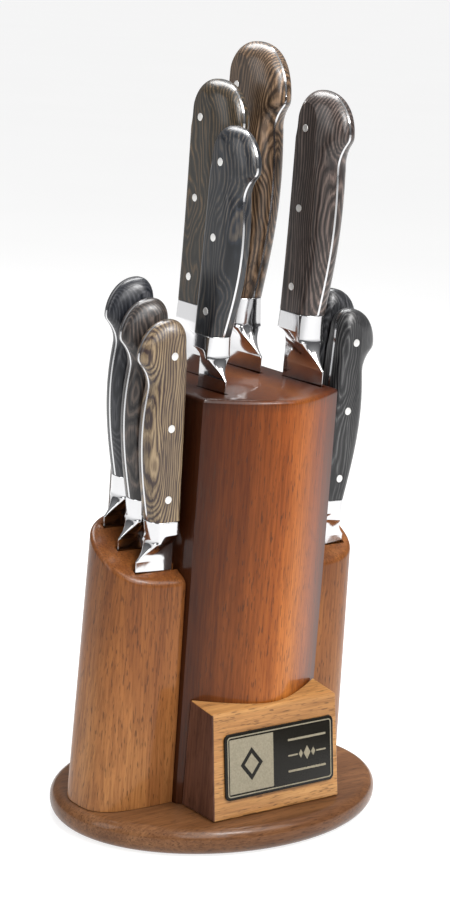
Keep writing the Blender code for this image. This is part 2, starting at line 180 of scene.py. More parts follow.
STEAK = KnifeSize(101, (14.4, 14.8), 16.2, 21.4, 18.6, 25.6, 20.0, 13.5, (21.0, 21.5))
SMALL = KnifeSize(104, (14.8, 16.2), 16.2, 23.6, 20.5, 29.0, 21.0, 13.5, (21.5, 21.5))
MEDIUM = KnifeSize(113.7, (16.5, 20.0), 22.8, 28.0, 26.0, 32.8, 22.7, 18.0, (27.7, 31.0))
LARGE = KnifeSize(132, (18.5, 23.0), 24.5, 32.5, 29.0, 36.5, 29.5, 20.0, (29.6, 35.0))

FRONT, LEFT, RIGHT = Vector((0, -1, 0)), Vector((-1, 0, 0)), Vector((1, 0, 0))

# name: size, where its edge points, blade length, wood (dark, middle, light), figure's turn
KNIVES = {
    "utility_knife": (SMALL, FRONT, 130 * MM,
                      ((0.005, 0.006, 0.008), (0.014, 0.017, 0.023), (0.075, 0.062, 0.05)), 1.0),
    "slicing_knife": (MEDIUM, FRONT, 180 * MM,
                      ((0.008, 0.006, 0.003), (0.024, 0.019, 0.011), (0.11, 0.066, 0.03)), 2.0),
    "butcher_knife": (LARGE, FRONT, 200 * MM,
                      ((0.022, 0.013, 0.007), (0.1, 0.06, 0.034), (0.27, 0.17, 0.1)), 3.0),
    "chef_knife": (MEDIUM, FRONT, 200 * MM,
                   ((0.013, 0.009, 0.008), (0.05, 0.037, 0.032), (0.15, 0.11, 0.095)), 4.0),
    "left_steak_knife_1": (STEAK, LEFT, 110 * MM,
                           ((0.03, 0.018, 0.016), (0.15, 0.105, 0.06), (0.3, 0.22, 0.13)), 5.0),
    "left_steak_knife_2": (STEAK, LEFT, 110 * MM,
                           ((0.01, 0.008, 0.008), (0.038, 0.032, 0.029), (0.12, 0.09, 0.075)), 6.0),
    "left_steak_knife_3": (STEAK, LEFT, 110 * MM,
                           ((0.006, 0.007, 0.01), (0.02, 0.022, 0.028), (0.07, 0.07, 0.078)), 7.0),
    "right_steak_knife_1": (STEAK, RIGHT, 110 * MM,
                            ((0.006, 0.006, 0.007), (0.02, 0.02, 0.021), (0.085, 0.085, 0.085)), 8.0),
    "right_steak_knife_2": (STEAK, RIGHT, 110 * MM,
                            ((0.006, 0.006, 0.007), (0.018, 0.019, 0.022), (0.075, 0.075, 0.08)), 9.0),
}
SLOTTED = {"centre_column": list(KNIVES)[:4], "left_pillar": list(KNIVES)[4:7],
           "right_pillar": list(KNIVES)[7:]}

# ---- the camera and the studio ----
CAMERA_DISTANCE = 1114.2 * MM
CAMERA_HEIGHT = 445.07 * MM
CAMERA_AZIMUTH = -38.49
CAMERA_PITCH = 12.84
CAMERA_YAW = 0.38
CAMERA_ROLL = -4.14
CAMERA_LENS = 89.2

WHITE = (1, 1, 1)
# name: azimuth and elevation in degrees, distance and size in metres, power in watts, colour
LIGHTS = {
    "key": (20, 55, 1.3, (1.2, 0.9), 17, (1, 0.98, 0.95)),
    "spark": (12, 50, 1.2, (0.4, 0.3), 9, WHITE),
    "front_fill": (-15, 30, 1.6, (0.8, 0.8), 11, WHITE),
    "top": (150, 62, 1.2, (0.9, 0.5), 17, WHITE),
    "left_fill": (-95, 25, 1.5, (0.5, 1.2), 7, WHITE),
}
LIGHT_TARGET_Z = 180 * MM
FLOOR_HALF_SIZE = 80
FLOOR_DROP = 0.2 * MM
FLOOR_GLOW = 0.78
SURROUND_TONE = 0.97
SURROUND_STRENGTH = 0.5             # as the object's reflections see it

# the Mix node's colour sockets
MIX_FACTOR, MIX_FIRST, MIX_SECOND, MIX_RESULT = 0, 6, 7, 2
COAT_IOR = 1.38


# ---- materials ----
class Paint:
    """A Principled material, with short calls that add its nodes."""

    def __init__(self, name, metallic=0.0, coat=0.0, coat_roughness=0.05, shine=0.5):
        self.material = bpy.data.materials.new(name)
        self.material.use_nodes = True
        self.tree = self.material.node_tree
        self.shader = self.tree.nodes["Principled BSDF"]
        self.shader.inputs["Metallic"].default_value = metallic
        self.shader.inputs["Specular IOR Level"].default_value = shine
        self.shader.inputs["Coat Weight"].default_value = coat
        self.shader.inputs["Coat IOR"].default_value = COAT_IOR
        self.shader.inputs["Coat Roughness"].default_value = coat_roughness
        self.place = self.add("ShaderNodeTexCoord").outputs["Object"]

    def add(self, kind, inputs=(), **settings):
        """Add a node; inputs are (socket, value or output) pairs."""
        made = self.tree.nodes.new(kind)
        for key, value in settings.items():
            setattr(made, key, value)
        for key, value in inputs:
            if isinstance(value, bpy.types.NodeSocket):
                self.tree.links.new(value, made.inputs[key])
            else:
                made.inputs[key].default_value = value
        return made

    def stretch(self, scale, offset=(0, 0, 0), turn=(0, 0, 0), vector=None):
        """The coordinates, scaled by cycles per metre, moved and turned."""
        pairs = (("Vector", vector or self.place), ("Scale", scale), ("Location", offset),
                 ("Rotation", turn))
        return self.add("ShaderNodeMapping", pairs).outputs["Vector"]

    def noise(self, vector, detail=2.0, roughness=0.5):
        """Fractal noise between 0 and 1."""
        pairs = (("Vector", vector), ("Scale", 1.0), ("Detail", detail), ("Roughness", roughness))
        return self.add("ShaderNodeTexNoise", pairs).outputs["Fac"]

    def ramp(self, factor, stops):
        """Colours by factor; stops are (position, colour) pairs."""
        made = self.add("ShaderNodeValToRGB", (("Fac", factor),))
        elements = made.color_ramp.elements
        while len(elements) < len(stops):
            elements.new(0.5)
        for element, (position, colour) in zip(elements, stops):
            element.position = position
            element.color = (*colour, 1)
        return made.outputs["Color"]

    def window(self, factor, low, high):
        """Factor spread so that low becomes 0 and high becomes 1."""
        pairs = (("Value", factor), ("From Min", low), ("From Max", high))
        return self.add("ShaderNodeMapRange", pairs).outputs["Result"]

    def mix(self, factor, first, second, blend="MIX"):
        """Two colours mixed by factor."""
        made = self.add("ShaderNodeMix", data_type="RGBA", blend_type=blend)
        for index, value in ((MIX_FACTOR, factor), (MIX_FIRST, first), (MIX_SECOND, second)):
            socket = made.inputs[index]
            if isinstance(value, bpy.types.NodeSocket):
                self.tree.links.new(value, socket)
            else:
                socket.default_value = value if isinstance(value, float) else (*value, 1)
        return made.outputs[MIX_RESULT]

    def colour(self, output):
        """Use an output as the base colour."""
        self.tree.links.new(output, self.shader.inputs["Base Color"])

    def rough(self, factor, low, high):
        """Let the roughness vary from low to high with a factor."""
        pairs = (("Value", factor), ("To Min", low), ("To Max", high))
        made = self.add("ShaderNodeMapRange", pairs)
        self.tree.links.new(made.outputs["Result"], self.shader.inputs["Roughness"])

    def relief(self, height, depth, strength):
        """Fine relief of a depth in metres."""
        pairs = (("Height", height), ("Distance", depth), ("Strength", strength))
        made = self.add("ShaderNodeBump", pairs)
        self.tree.links.new(made.outputs["Normal"], self.shader.inputs["Normal"])


def lacquered_wood(name, along, tones, seed, coat=0.42, patch=0.5, burst_and_shade=(), painted_light_by_height=()):
    """Stained wood under a glossy lacquer.

    Along is the grain's axis and tones run from dark to light.  The stops across the column give
    a stain that darkens towards its sides, partly a sprayed stain and partly painted shade; the
    stops by height give painted light: a painted reflection that pales the lower part and painted
    shade that darkens the top.
    """
    paint = Paint(name, coat=coat, coat_roughness=0.09, shine=0.1)

    def scale(across, lengthwise):
        return tuple(lengthwise if axis == along else across for axis in "XYZ")

    offset = (seed, seed * 1.7, seed * 0.6)
    cloud = paint.noise(paint.stretch(scale(22, 7), offset), 3.0, 0.55)
    streak = paint.noise(paint.stretch(scale(150, 7), offset), 4.0, 0.6)
    grain = paint.noise(paint.stretch(scale(900, 40), offset), 3.0, 0.65)
    pores = paint.noise(paint.stretch(scale(1300, 170), offset), 1.0, 0.5)
    broad = paint.mix(patch, streak, cloud)
    stain = paint.ramp(broad, ((0.25, tones[0]), (0.42, tones[1]), (0.58, tones[2]),
                               (0.75, tones[3])))
    fine = paint.ramp(grain, ((0.35, (0.66, 0.6, 0.56)), (0.6, (1.08, 1.06, 1.04))))
    stain_and_shade = paint.mix(0.85, stain, fine, "MULTIPLY")
    # painted shade across X: the stain darkens towards the column's sides, partly a sprayed stain and
    # partly painted shade
    if burst_and_shade:
        across = paint.add("ShaderNodeSeparateXYZ", (("Vector", paint.place),)).outputs["X"]
        share = paint.window(across, -COLUMN_HALF_WIDTH, COLUMN_HALF_WIDTH)
        stain_and_shade = paint.mix(1.0, stain_and_shade, paint.ramp(share, burst_and_shade), "MULTIPLY")
    # painted light by height: a painted reflection pales and blues the lower part, painted shade
    # darkens the top
    if painted_light_by_height:
        height = paint.add("ShaderNodeSeparateXYZ", (("Vector", paint.place),)).outputs["Z"]
        share = paint.window(height, BASE_HEIGHT, COLUMN_TOP)
        stain_and_shade = paint.mix(1.0, stain_and_shade, paint.ramp(share, painted_light_by_height), "MULTIPLY")
    fleck = paint.window(pores, 0.6, 0.7)
    flecked = paint.mix(fleck, stain_and_shade, paint.mix(0.6, stain_and_shade, (0.03, 0.012, 0.006)))
    paint.colour(flecked)
    paint.rough(grain, 0.34, 0.5)
    paint.relief(grain, 0.06 * MM, 0.35)
    return paint.material


def handle_wood(name, tones, turn):
    """Open-grained laminated wood: layers run along the handle and show rings where they dip."""
    paint = Paint(name, coat=0.75, coat_roughness=0.24, shine=0.2)
    dark, middle, light = tones
    offset = (turn * 0.31, turn * 0.17, turn * 0.43)
    swirl = paint.noise(paint.stretch((38, 38, 15), offset), 2.0, 0.45)
    bend = paint.add("ShaderNodeVectorMath", (("Vector", swirl), (1, (0.022, 0.022, 0.0))),
                     operation="MULTIPLY")
    bent = paint.add("ShaderNodeVectorMath", ((0, paint.place), (1, bend.outputs[0])),
                     operation="ADD")
    tilt = (math.radians(4 * math.sin(turn * 2.1)), math.radians(5 * math.cos(turn * 1.3)), 0)
    rings_at = paint.stretch((26, 26, 2.2), (-0.25, 0.3 * math.sin(turn), 0), tilt,
                             bent.outputs[0])
    pairs = (("Vector", rings_at), ("Scale", 7.5), ("Distortion", 2.6), ("Detail", 3.0),
             ("Detail Scale", 2.6), ("Detail Roughness", 0.6))
    rings = paint.add("ShaderNodeTexWave", pairs, wave_type="RINGS",
                      rings_direction="Z").outputs["Fac"]
    fibre = paint.noise(paint.stretch((620, 620, 26), offset), 3.0, 0.6)
    patches = paint.noise(paint.stretch((60, 60, 12), offset), 2.0, 0.5)
    layered = paint.ramp(paint.mix(0.5, rings, fibre),
                         ((0.28, dark), (0.45, middle), (0.6, middle), (0.8, light)))
    shaded = paint.mix(paint.window(patches, 0.35, 0.65), layered, paint.mix(0.5, layered, dark))
    pores = paint.window(paint.noise(paint.stretch((1500, 1500, 75), offset), 1.0), 0.58, 0.68)
    paint.colour(paint.mix(pores, shaded, paint.mix(0.75, shaded, dark)))
    paint.rough(fibre, 0.3, 0.5)
    paint.relief(paint.mix(0.5, fibre, rings), 0.12 * MM, 0.45)
    return paint.material


def polished_steel(name, tone, roughness):
    """Steel with faint polishing marks along the blade."""
    paint = Paint(name, metallic=1.0)
    marks = paint.noise(paint.stretch((900, 900, 45)), 3.0, 0.6)
    clouds = paint.noise(paint.stretch((40, 40, 25)), 2.0)
    paint.colour(paint.ramp(clouds, ((0.3, [0.93 * c for c in tone]), (0.7, tone))))
    paint.rough(marks, 0.6 * roughness, 1.4 * roughness)
    paint.relief(marks, 0.01 * MM, 0.3)
    return paint.material


def enamel(name, tone, roughness):
    """Smooth plate enamel with a fine mottle."""
    paint = Paint(name, shine=0.15)
    mottle = paint.noise(paint.stretch((1100, 1100, 1100)), 2.0)
    paint.colour(paint.ramp(mottle, ((0.35, [0.82 * c for c in tone]), (0.65, tone))))
    paint.rough(mottle, roughness, 1.3 * roughness)
    return paint.material


def make_materials():
    """The materials that several pieces share."""
    red = ((0.24, 0.07, 0.012), (0.33, 0.105, 0.018), (0.42, 0.145, 0.028), (0.5, 0.19, 0.045))
    brown = ((0.13, 0.045, 0.014), (0.19, 0.07, 0.02), (0.26, 0.105, 0.03), (0.34, 0.15, 0.045))
    umber = ((0.06, 0.024, 0.01), (0.1, 0.042, 0.016), (0.14, 0.062, 0.025), (0.2, 0.095, 0.04))
    # stops across the column: darker towards both sides, partly a sprayed stain and partly painted
    # shade
    burst_and_shade = ((0.0, (0.1, 0.07, 0.07)), (0.2, (0.3, 0.24, 0.22)), (0.48, (0.75, 0.66, 0.6)),
             (0.64, (0.95, 0.92, 0.85)), (0.8, (0.55, 0.42, 0.36)), (1.0, (0.16, 0.09, 0.08)))
    # stops by height: a painted reflection pales the lower part, painted shade darkens the top
    tall_painted_light_by_height = ((0.15, (1.05, 1.1, 1.2)), (0.6, (0.85, 0.8, 0.75)), (0.97, (0.7, 0.6, 0.55)),
                 (1.0, (0.4, 0.36, 0.36)))
    low_painted_light_by_height = ((0.1, (1.0, 1.05, 1.15)), (0.35, (0.85, 0.8, 0.75)), (0.6, (0.6, 0.52, 0.46)))
    # painted shade: a darker copy of the honey wood for the sign's end faces
    dark = ((0.025, 0.011, 0.008), (0.07, 0.03, 0.02), (0.12, 0.052, 0.032), (0.17, 0.08, 0.05))
    honey = ((0.22, 0.1, 0.03), (0.31, 0.15, 0.05), (0.38, 0.2, 0.07), (0.46, 0.26, 0.11))
    return {
        "column": lacquered_wood("column_lacquer", "Z", red, 0.3, burst_and_shade=burst_and_shade, painted_light_by_height=tall_painted_light_by_height),
        "pillar": lacquered_wood("pillar_lacquer", "Z", brown, 1.9, painted_light_by_height=low_painted_light_by_height),
        "base": lacquered_wood("base_lacquer", "X", umber, 4.2),
        "honey": lacquered_wood("honey_lacquer", "X", honey, 2.6, coat=0.6, patch=0.3),
        # painted shade on the sign's end faces
        "sign_end_shade": lacquered_wood("sign_end_shade_lacquer", "Z", dark, 5.1, coat=0.5),
        "steel": polished_steel("polished_steel", (0.68, 0.68, 0.69), 0.12),
        "rivet": polished_steel("rivet_steel", (0.9, 0.89, 0.87), 0.38),
        "black": enamel("plate_black", (0.009, 0.008, 0.006), 0.2),
        "cream": enamel("plate_cream", (0.22, 0.195, 0.14), 0.35),
    }


# ---- mesh helpers ----
def add_loft(shape, rings):
    """A closed skin through rings of equal point count, capped at both ends."""
    layers = [[shape.verts.new(point) for point in ring] for ring in rings]
    count = len(rings[0])
    for low, high in zip(layers, layers[1:]):
        for i in range(count):
            j = (i + 1) % count
            shape.faces.new((low[i], low[j], high[j], high[i]))
    shape.faces.new(layers[0])
    shape.faces.new(layers[-1])


def add_band(shape, outer, inner, low_y, high_y):
    """A flat frame between two outlines of equal point count, given as (x, z) pairs."""
    loops = [[shape.verts.new((x, y, z)) for x, z in outline]
             for outline, y in ((outer, low_y), (outer, high_y), (inner, high_y), (inner, low_y))]
    count = len(outer)
    for first, second in zip(loops, loops[1:] + loops[:1]):
        for i in range(count):
            j = (i + 1) % count
            shape.faces.new((first[i], first[j], second[j], second[i]))


def mesh_object(name, shape, materials, sharp=0):
    """Close a bmesh into a linked, smooth-shaded object with edges sharp above an angle."""
    bmesh.ops.recalc_face_normals(shape, faces=shape.faces)
    for face in shape.faces:
        face.smooth = True
    for edge in shape.edges:
        if sharp and edge.calc_face_angle(0) > math.radians(sharp):
            edge.smooth = False
    mesh = bpy.data.meshes.new(name)
    shape.to_mesh(mesh)
    shape.free()
    for material in materials:
        mesh.materials.append(material)
    made = bpy.data.objects.new(name, mesh)
    bpy.context.scene.collection.objects.link(made)
    return made


def settle(made, body, nodes, slot):
    """The piece rides on a body and stands for CAD nodes, which it hides; slot is not used."""
    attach(made, body)
    if nodes:
        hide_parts(*nodes)


def soften(made, width, angle=35):
    """Round the sharp edges a little."""
    step = made.modifiers.new("soften", "BEVEL")
    step.width = width
    step.segments = 3
    step.limit_method = "ANGLE"
    step.angle_limit = math.radians(angle)
    step.harden_normals = True


def cut_away(made, cutters):
    """Subtract the cutters for good and delete them."""
    for cutter in cutters:
        step = made.modifiers.new("cut", "BOOLEAN")
        step.operation = "DIFFERENCE"
        step.solver = "EXACT"
        step.object = cutter
    graph = bpy.context.evaluated_depsgraph_get()
    result = bpy.data.meshes.new_from_object(made.evaluated_get(graph))
    made.modifiers.clear()
    made.data = result
    for cutter in cutters:
        bpy.data.objects.remove(cutter, do_unlink=True)


def inset_outline(outline, distance, keep=()):
    """Move a counter-clockwise outline inwards; points in keep only move along Y."""
    moved = []
    count = len(outline)
    for i, (x, y) in enumerate(outline):
        before = Vector(outline[i - 1])
        after = Vector(outline[(i + 1) % count])
        along = (after - before).normalized()
        inward = Vector((-along.y, along.x)) * distance
        if i in keep:
            inward = Vector((0, math.copysign(distance, inward.y)))
        moved.append((x + inward.x, y + inward.y))
    return moved


def rounding(radius, steps):
    """(inset, distance below the face) pairs of a quarter-round edge, from the side to the face."""
    angles = [math.pi / 2 * i / steps for i in range(steps + 1)]
    return [(radius * (1 - math.cos(a)), radius * (1 - math.sin(a))) for a in angles]


# ---- the block ----
def base_plate(materials):
    """The oval base with a rounded edge."""
    count = 144
    outline = [(BASE_LENGTH / 2 * math.cos(2 * math.pi * i / count),
                BASE_DEPTH / 2 * math.sin(2 * math.pi * i / count)) for i in range(count)]
    levels = rounding(BASE_BOTTOM_ROUND, 8)[::-1]
    levels += [(inset, BASE_HEIGHT - down) for inset, down in rounding(BASE_TOP_ROUND, 8)]
    shape = bmesh.new()
    add_loft(shape, [[(x, y, z) for x, y in inset_outline(outline, inset)]
                     for inset, z in levels])
    made = mesh_object("oval_base", shape, [materials["base"]])
    settle(made, "block", ["base_plate"], "lacquered_wood")


def column_front(x):
    """Y of the column's curved front at X."""
    def swell(reach):
        return math.sqrt(1 + (reach / COLUMN_NOSE_WIDTH) ** 2) - 1
    depth = COLUMN_CORNER_Y - COLUMN_NOSE_Y
    return COLUMN_NOSE_Y + depth * swell(x) / swell(COLUMN_HALF_WIDTH)


def column_outline():
    """Plan of the column, counter-clockwise from its front left corner."""
    steps = 48
    front = [COLUMN_HALF_WIDTH * (2 * i / steps - 1) for i in range(steps + 1)]
    outline = [(x, column_front(x)) for x in front]
    centre_x = COLUMN_HALF_WIDTH - COLUMN_BACK_RADIUS
    centre_y = COLUMN_BACK_Y - COLUMN_BACK_RADIUS
    turns = 10
    for side, start in ((1, 0), (-1, 90)):
        for i in range(turns + 1):
            turn = math.radians(start + 90 * i / turns)
            outline.append((side * centre_x + COLUMN_BACK_RADIUS * math.cos(turn),
                            centre_y + COLUMN_BACK_RADIUS * math.sin(turn)))
    return outline


def centre_column(materials, places):
    """The tall column with a curved front and four slots."""
    outline = column_outline()
    levels = [(0, BASE_HEIGHT + GAP)]
    levels += [(inset, COLUMN_TOP - down) for inset, down in rounding(COLUMN_RIM, 7)]
    shape = bmesh.new()
    add_loft(shape, [[(x, y, z) for x, y in inset_outline(outline, inset)]
                     for inset, z in levels])
    made = mesh_object("tall_column", shape, [materials["column"]])
    cut_away(made, [slot_cutter(name, places[name], 0) for name in SLOTTED["centre_column"]])
    soften(made, 0.7 * MM)
    settle(made, "block", ["centre_column"], "lacquered_wood")


def pillar_outline(end):
    """Plan of the left pillar at one end, counter-clockwise from its back inner corner."""
    reach, wide_y, front_depth, back_depth, front_squareness = end
    steps = 72
    outline = []
    for i in range(steps + 1):
        turn = math.pi / 2 - math.pi * i / steps
        if i <= steps / 2:
            depth, squareness = back_depth, PILLAR_BACK_SQUARENESS
        else:
            depth, squareness = front_depth, front_squareness
        across = abs(math.cos(turn)) ** (2 / squareness)
        along = math.copysign(abs(math.sin(turn)) ** (2 / squareness), math.sin(turn))
        outline.append((-PILLAR_INNER_X - reach * across, wide_y + depth * along))
    return outline


def pillar_top_height(y):
    """Height of the sloping top of a pillar at Y."""
    return PILLAR_FRONT_TOP + PILLAR_TOP_SLOPE * (y - LEFT_PILLAR_TOP[1] + LEFT_PILLAR_TOP[2])


def side_pillar(name, node, side, ends, materials, places):
    """A pillar that flares to its foot, with a sloping top; side is -1 for left, 1 for right."""
    foot_z = BASE_HEIGHT + GAP
    foot, top = pillar_outline(ends[0]), pillar_outline(ends[1])
    inner = (0, len(foot) - 1)
    reference = PILLAR_FRONT_TOP - foot_z

    def ring(inset, down):
        points = []
        for low, high in zip(foot, inset_outline(top, inset, inner)):
            height = pillar_top_height(high[1]) - down
            share = min((height - foot_z) / reference, 1)
            points.append((low[0] + (high[0] - low[0]) * share, high[1], height))
        return points

    rings = [[(x, y, foot_z) for x, y in foot]]
    rings += [ring(inset, down) for inset, down in rounding(PILLAR_RIM, 7)]
    if side > 0:
        rings = [[(-x, y, z) for x, y, z in points] for points in rings]
    shape = bmesh.new()
    add_loft(shape, rings)
    made = mesh_object(name, shape, [materials["pillar"]])
    cut_away(made, [slot_cutter(knife, places[knife], KERF_RUN_OUT) for knife in SLOTTED[node]])
    soften(made, 0.6 * MM, 40)
    settle(made, "block", [node], "lacquered_wood")


def sign_block(materials):
    """The small block that leans against the column's front, with painted shade on its ends."""
    def ring(half_width, front_y, height):
        steps = 40
        back = [half_width * (1 - 2 * i / steps) for i in range(steps + 1)]
        points = [(-half_width, front_y), (half_width, front_y)]
        points += [(x, column_front(x) - 2 * GAP) for x in back]
        return [(x, y, height(y)) for x, y in points]

    shape = bmesh.new()
    add_loft(shape, [ring(SIGN_FOOT_HALF_WIDTH, SIGN_FOOT_Y, lambda y: BASE_HEIGHT + GAP),
                     ring(SIGN_TOP_HALF_WIDTH, SIGN_TOP_Y,
                          lambda y: SIGN_FRONT_HEIGHT + SIGN_TOP_SLOPE * (y - SIGN_TOP_Y))])
    made = mesh_object("sign_wedge", shape, [materials["honey"], materials["sign_end_shade"]])
    # painted shade: faces that look along X take the darker copy of the honey wood
    for face in made.data.polygons:
        face.material_index = 1 if abs(face.normal.x) > 0.9 else 0
    soften(made, 0.8 * MM)
    settle(made, "block", ["sign_block"], "honey_wood")


def rounded_rectangle(half_x, half_z, corner, centre=(0, 0)):
    """Outline of a rectangle with rounded corners, as (x, z) pairs."""
    steps = 7
    points = []
    for quarter, (side_x, side_z) in enumerate([(1, 1), (-1, 1), (-1, -1), (1, -1)]):
        for i in range(steps + 1):
            turn = math.radians(90 * quarter + 90 * i / steps)
            points.append((centre[0] + side_x * (half_x - corner) + corner * math.cos(turn),
                           centre[1] + side_z * (half_z - corner) + corner * math.sin(turn)))
    return points


def diamond(half_x, half_z, centre):
    """Outline of an upright diamond, as (x, z) pairs."""
    x, z = centre
    return [(x + half_x, z), (x, z + half_z), (x - half_x, z), (x, z - half_z)]


def plate_place():
    """Where the plate sits: on the sign's leaning front, with Y into the block."""
    lean = math.atan2(SIGN_TOP_Y - SIGN_FOOT_Y, SIGN_FRONT_HEIGHT - BASE_HEIGHT)
    share = (PLATE_CENTRE_Z - BASE_HEIGHT) / (SIGN_FRONT_HEIGHT - BASE_HEIGHT)
    front_y = SIGN_FOOT_Y + (SIGN_TOP_Y - SIGN_FOOT_Y) * share
    return (Matrix.Translation((PLATE_CENTRE_X, front_y, PLATE_CENTRE_Z))
            @ Matrix.Rotation(-lean, 4, "X"))


def add_solid(shape, outline, low_y, high_y):
    """A thin flat piece with an (x, z) outline."""
    add_loft(shape, [[(x, y, z) for x, z in outline] for y in (low_y, high_y)])


def add_border(shape, front, back):
    """The raised line round the plate."""
    half_x, half_z = PLATE_SIZE[0] / 2, PLATE_SIZE[1] / 2
    outer = rounded_rectangle(half_x - BORDER_INSET, half_z - BORDER_INSET, BORDER_OUTER_CORNER)
    inner = rounded_rectangle(half_x - BORDER_INSET - BORDER_LINE,
                              half_z - BORDER_INSET - BORDER_LINE, BORDER_INNER_CORNER)
    add_band(shape, outer, inner, front, back)


def add_panel(shape, front, back):
    """The raised panel, with a diamond in a diamond-shaped hole."""
    centre = (-PLATE_SIZE[0] / 2 + BORDER_INSET + 2 * BORDER_LINE + PANEL_HALF, 0)
    around = ((1, 0), (1, 1), (0, 1), (-1, 1), (-1, 0), (-1, -1), (0, -1), (1, -1))
    outline = [(centre[0] + side_x * PANEL_HALF, side_z * PANEL_HALF)
               for side_x, side_z in around]
    hole = diamond(*PANEL_DIAMOND, centre)
    middles = [((a[0] + b[0]) / 2, (a[1] + b[1]) / 2) for a, b in zip(hole, hole[1:] + hole[:1])]
    add_band(shape, outline, [point for pair in zip(hole, middles) for point in pair],
             front, back)
    core = [PANEL_DIAMOND_CORE * half for half in PANEL_DIAMOND]
    add_solid(shape, diamond(*core, centre), front, back)


def add_rules(shape, front, back):
    """The rules and the three small diamonds beside the panel."""
    for centre_z in (LONG_RULE_Z, -LONG_RULE_Z):
        add_solid(shape, rounded_rectangle(*LONG_RULE, (FIELD_X, centre_z)), front, back)
    for side in (-1, 1):
        centre = (FIELD_X + side * SHORT_RULE_X, 0)
        add_solid(shape, rounded_rectangle(*SHORT_RULE, centre), front, back)
    for side, half_height in ((-1, 2.2 * MM), (0, 3.6 * MM), (1, 2.2 * MM)):
        centre = (FIELD_X + side * SMALL_DIAMOND_STEP, 0)
        add_solid(shape, diamond(SMALL_DIAMOND_WIDTH * half_height, half_height, centre),
                  front, back)


def name_plate(materials):
    """The black plate and its raised cream ornament."""
    half_x, half_z = PLATE_SIZE[0] / 2, PLATE_SIZE[1] / 2
    edge = 0.25 * MM
    front = -GAP - PLATE_THICKNESS
    shape = bmesh.new()
    rings = [(0, -GAP), (0, front + edge), (0.3 * edge, front + 0.3 * edge), (edge, front)]
    add_loft(shape, [[(x, y, z) for x, z in rounded_rectangle(half_x - inset, half_z - inset,
                                                              PLATE_CORNER - inset)]
                     for inset, y in rings])
    plate = mesh_object("sign_plate", shape, [materials["black"]])
    inlay = bmesh.new()
    for add_part in (add_border, add_panel, add_rules):
        add_part(inlay, front - INLAY_RISE, front)
    ornament = mesh_object("sign_plate_inlay", inlay, [materials["cream"]], 30)
    for made, nodes in ((plate, ["name_plate"]), (ornament, [])):
        made.matrix_world = plate_place()
        settle(made, "block", nodes, "plate_black")


# ---- the knives ----
def knife_place(name):
    """The knife's own frame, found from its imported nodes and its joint."""
    up = JOINT_AXES[name].normalized()
    ahead = KNIVES[name][1]
    edge = (ahead - up * ahead.dot(up)).normalized()
    across = up.cross(edge)
    steel = [vertex.co for vertex in frame["nodes"][name + "_blade"].data.vertices]
    scale = [vertex.co for vertex in frame["nodes"][name + "_scale_a"].data.vertices]
    sides = [point.dot(across) for point in steel]
    origin = (edge * min(point.dot(edge) for point in steel)
              + across * (min(sides) + max(sides)) / 2
              + up * (min(point.dot(up) for point in scale) - CAD_SCALE_GAP))
    turn = Matrix((edge, across, up)).transposed().to_4x4()
    return Matrix.Translation(origin) @ turn


def slot_cutter(name, place, run_out):
    """A box in the knife's frame that cuts its slot."""
    size, _, blade, _, _ = KNIVES[name]
    low = (-SLOT_END_PLAY - run_out, -SLOT_HALF, -size.heel_drop - blade - SLOT_DEPTH_PLAY)
    high = (size.heel + SLOT_END_PLAY, SLOT_HALF, 0)
    corners = [(low[0], low[1]), (high[0], low[1]), (high[0], high[1]), (low[0], high[1])]
    shape = bmesh.new()
    add_loft(shape, [[(x, y, z) for x, y in corners] for z in (low[2], high[2])])
    made = mesh_object(name + "_cutter", shape, [])
    made.matrix_world = place
    return made


def edge_side(size, s):
    """Width of the handle at distance s above its foot."""
    if s <= size.belly_at:
        return size.foot + (size.belly - size.foot) * math.sin(math.pi / 2 * s / size.belly_at)
    if s <= size.waist_at:
        share = (s - size.belly_at) / (size.waist_at - size.belly_at)
        return size.belly + (size.waist - size.belly) * share ** 2
    if s <= size.hook_at:
        share = (s - size.waist_at) / (size.hook_at - size.waist_at)
        return size.waist + (size.hook - size.waist) * share ** 2.2
    share = (s - size.hook_at) / (size.length - size.hook_at)
    return size.crown + (size.hook - size.crown) * math.sqrt(max(0, 1 - share ** 2))


def spine_side(size, s):
    """Where the handle begins on its spine side: straight, then rounded over at the butt."""
    start = size.length - BUTT_REACH * size.crown
    share = max(0, (s - start) / (size.length - start))
    return size.crown * (1 - math.sqrt(max(0, 1 - share ** 2)))


def flat_half(size, s):
    """Half thickness between the handle's flat sides."""
    return size.foot_half + (size.butt_half - size.foot_half) * min(1, s / size.hook_at) ** 2


def handle_levels(size):
    """Heights of the outline's points from the foot to the top of the butt."""
    levels = [SCALE_FOOT + (size.waist_at - SCALE_FOOT) * i / RISE_STEPS
              for i in range(RISE_STEPS)]
    levels += [size.waist_at + (size.hook_at - size.waist_at) * i / HOOK_STEPS
               for i in range(HOOK_STEPS)]
    crown = size.length - size.hook_at
    return levels + [size.hook_at + crown * math.sin(math.pi / 2 * i / CROWN_STEPS)
                     for i in range(CROWN_STEPS + 1)]


def round_the_loop(spine, edge, levels):
    """(w, s) points up the spine side, over the top and down the edge side."""
    up = [(spine(s), s) for s in levels]
    down = [(edge(s), s) for s in levels[-2::-1]]
    return up + down


def eased(path, passes):
    """The path with its corners eased; its ends stay."""
    for _ in range(passes):
        middle = [((a[0] + 2 * b[0] + c[0]) / 4, (a[1] + 2 * b[1] + c[1]) / 4)
                  for a, b, c in zip(path, path[1:], path[2:])]
        path = path[:1] + middle + path[-1:]
    return path


def handle_outline(size):
    """Silhouette of the handle at the tang."""
    return eased(round_the_loop(lambda s: spine_side(size, s), lambda s: edge_side(size, s),
                                handle_levels(size)), 2)


